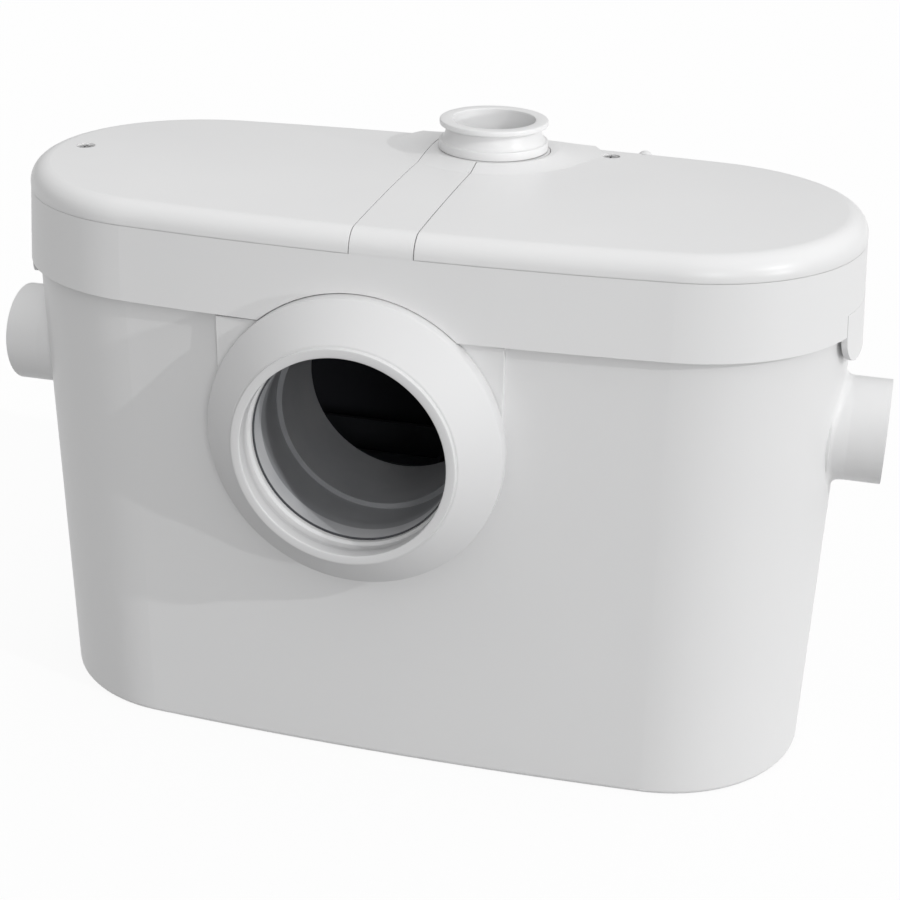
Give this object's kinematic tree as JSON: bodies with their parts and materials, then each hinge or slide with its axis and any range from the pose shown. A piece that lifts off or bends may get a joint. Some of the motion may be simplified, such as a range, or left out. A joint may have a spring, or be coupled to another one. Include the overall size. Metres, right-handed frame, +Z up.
{
  "type": "macerator toilet pump",
  "caption": "Oval floor-standing tank that grinds and pumps toilet waste: round pan inlet in front, side inlets at both ends, discharge neck on a lid with lift-off hatch covers.",
  "frame": {"origin": "on the floor, under the middle of the tank's foot", "axes": "+X along the tank to its right end seen from the front, +Y to the wall behind, +Z up; the pan inlet faces -Y"},
  "size_m": [0.4438, 0.2097, 0.2956],
  "materials": {
    "white_plastic": "satin",
    "white_rubber": "matte",
    "dark_plastic": "matte",
    "grey_plastic": "matte",
    "black_rubber": "matte",
    "steel": "brushed",
    "cast_aluminium": "satin",
    "copper": "enamelled wire"
  },
  "bodies": {
    "tank": {"access_cover": "dark_plastic", "access_screws": "steel", "capacitor": "cast_aluminium", "control_box": "grey_plastic", "control_box_cover": "grey_plastic", "deck_plate": "grey_plastic", "discharge_pipe": "black_rubber", "discharge_valve_body": "dark_plastic", "flap_pins": "steel", "inlet_collar": "white_rubber", "inlet_duct": "dark_plastic", "inlet_gasket": "black_rubber", "inlet_seats": "dark_plastic", "inner_leads": "black_rubber", "lead_clips": "dark_plastic", "lead_grommets": "black_rubber", "macerator_basket": "dark_plastic", "micro_switch": "dark_plastic", "motor_bearings": "steel", "motor_cap_screws": "steel", "motor_cradle": "dark_plastic", "motor_end_cap": "cast_aluminium", "motor_housing": "cast_aluminium", "motor_pads": "black_rubber", "pipe_sleeve": "black_rubber", "pressure_bell": "dark_plastic", "shaft_seal": "black_rubber", "stator_core": "steel", "stator_windings": "copper", "switch_base": "dark_plastic", "switch_cap": "dark_plastic", "switch_diaphragm": "black_rubber", "tank": "white_plastic", "tank_seal": "black_rubber", "terminal_block": "grey_plastic", "volute_casing": "dark_plastic", "volute_cover": "dark_plastic", "volute_screws": "steel"},
    "lid": {"lid_frame": "white_plastic", "discharge_neck": "white_plastic", "neck_lock_ring": "dark_plastic", "neck_o_ring": "black_rubber", "cable_gland": "dark_plastic"},
    "left_hatch": {"left_hatch_cover": "white_plastic", "left_hatch_screw": "steel"},
    "right_hatch": {"right_hatch_cover": "white_plastic", "right_hatch_screw": "steel", "vent_cap": "white_plastic"},
    "left_latch": {"left_latch_tab": "white_plastic"},
    "right_latch": {"right_latch_tab": "white_plastic"},
    "rotor": {"motor_shaft": "steel", "rotor_core": "steel", "impeller": "dark_plastic", "cutter_blades": "steel", "cutter_spacers": "steel", "cutter_nut": "steel"},
    "discharge_flap": {"discharge_flap": "black_rubber"},
    "left_inlet_flap": {"left_inlet_flap": "black_rubber"},
    "right_inlet_flap": {"right_inlet_flap": "black_rubber"},
    "switch_plunger": {"switch_plunger": "dark_plastic"}
  },
  "joints": [
    {"name": "lid_lift", "type": "slide", "parent": "tank", "child": "lid", "axis": [0, 0, 1], "range_m": [0, 0.06]},
    {"name": "left_hatch_lift", "type": "slide", "parent": "lid", "child": "left_hatch", "axis": [0, 0, 1], "range_m": [0, 0.06]},
    {"name": "right_hatch_lift", "type": "slide", "parent": "lid", "child": "right_hatch", "axis": [0, 0, 1], "range_m": [0, 0.06]},
    {"name": "left_latch_flex", "type": "hinge", "parent": "lid", "child": "left_latch", "pos_m": [-0.2042, 0, 0.2416], "axis": [0, 1, 0], "range_deg": [0, 8], "stiffness_Nm_per_rad": 0.6, "springref_deg": -2.86},
    {"name": "right_latch_flex", "type": "hinge", "parent": "lid", "child": "right_latch", "pos_m": [0.2042, 0, 0.2416], "axis": [0, -1, 0], "range_deg": [0, 8], "stiffness_Nm_per_rad": 0.6, "springref_deg": -2.86},
    {"name": "rotor_spin", "type": "hinge", "parent": "tank", "child": "rotor", "pos_m": [0, 0, 0.078], "axis": [1, 0, 0], "continuous": true},
    {"name": "discharge_flap_swing", "type": "hinge", "parent": "tank", "child": "discharge_flap", "pos_m": [0.015, 0.0715, 0.208], "axis": [-1, 0, 0], "range_deg": [0, 65]},
    {"name": "left_inlet_flap_swing", "type": "hinge", "parent": "tank", "child": "left_inlet_flap", "pos_m": [-0.1766, 0, 0.203], "axis": [0, -1, 0], "range_deg": [0, 60]},
    {"name": "right_inlet_flap_swing", "type": "hinge", "parent": "tank", "child": "right_inlet_flap", "pos_m": [0.1766, 0, 0.203], "axis": [0, 1, 0], "range_deg": [0, 60]},
    {"name": "switch_plunger_travel", "type": "slide", "parent": "tank", "child": "switch_plunger", "axis": [0, 0, 1], "range_m": [0, 0.002], "stiffness_N_per_m": 300, "springref_m": -0.001}
  ]
}
